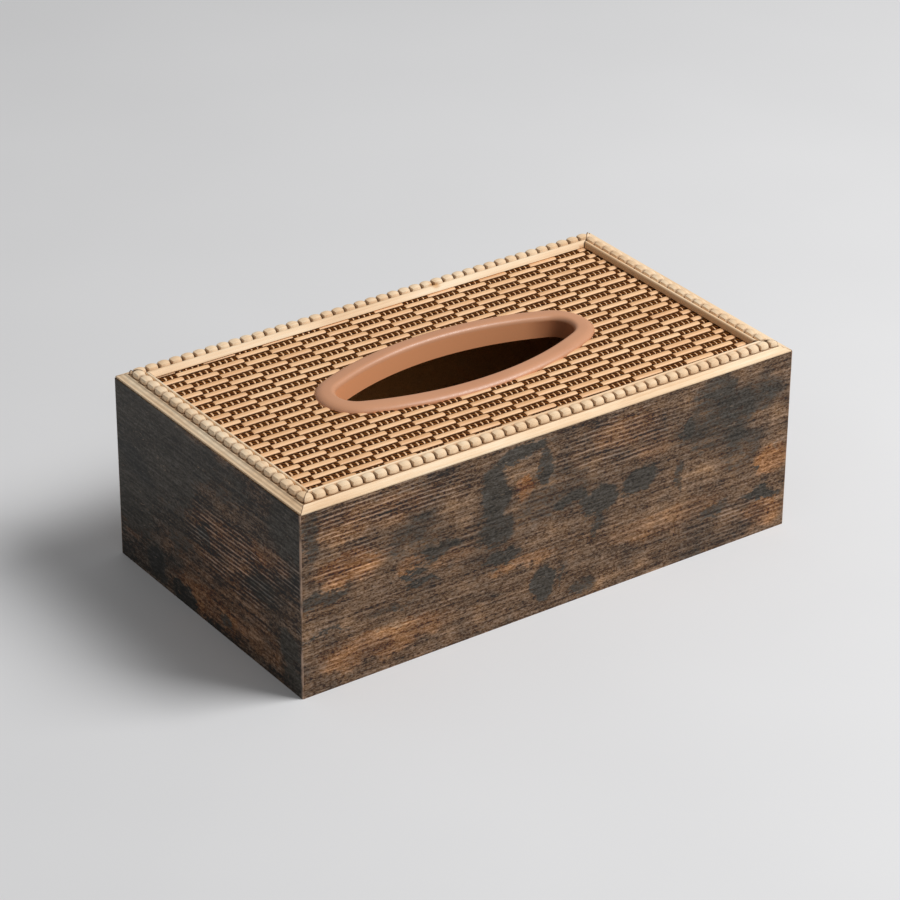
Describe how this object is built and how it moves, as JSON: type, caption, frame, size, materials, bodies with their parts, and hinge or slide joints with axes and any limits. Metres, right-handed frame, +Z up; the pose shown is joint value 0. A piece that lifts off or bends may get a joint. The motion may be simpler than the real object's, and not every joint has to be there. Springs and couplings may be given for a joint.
{
  "type": "tissue box",
  "caption": "Rectangular wooden tissue box with a woven top panel, beaded mouldings, an oval lined mouth and a base board that slides out for refilling.",
  "frame": {"origin": "middle of the footprint, on the surface that the box stands on", "axes": "+X along the length towards the end where the base board slides out, -Y is the front, +Z is up"},
  "size_m": [0.25, 0.142, 0.0893],
  "materials": {
    "laminated_board": "satin dark rustic wood laminate on fibreboard",
    "plain_board": "plain dark-faced fibreboard",
    "dark_cord": "twisted dark brown cord",
    "light_splint": "matt light wood splint",
    "light_wood": "satin natural light wood",
    "ring_plastic": "satin tan plastic"
  },
  "bodies": {
    "casing": {"front_board": "laminated_board", "back_board": "laminated_board", "left_board": "laminated_board", "right_board": "laminated_board", "top_board": "plain_board", "warp_cords": "dark_cord", "weft_splints": "light_splint", "bead_moulding_front": "light_wood", "bead_moulding_back": "light_wood", "bead_moulding_left": "light_wood", "bead_moulding_right": "light_wood", "mouth_ring": "ring_plastic"},
    "base": {"base_board": "plain_board"}
  },
  "joints": [
    {"name": "base_slide", "type": "slide", "parent": "casing", "child": "base", "axis": [1, 0, 0], "range_m": [0, 0.25]}
  ]
}
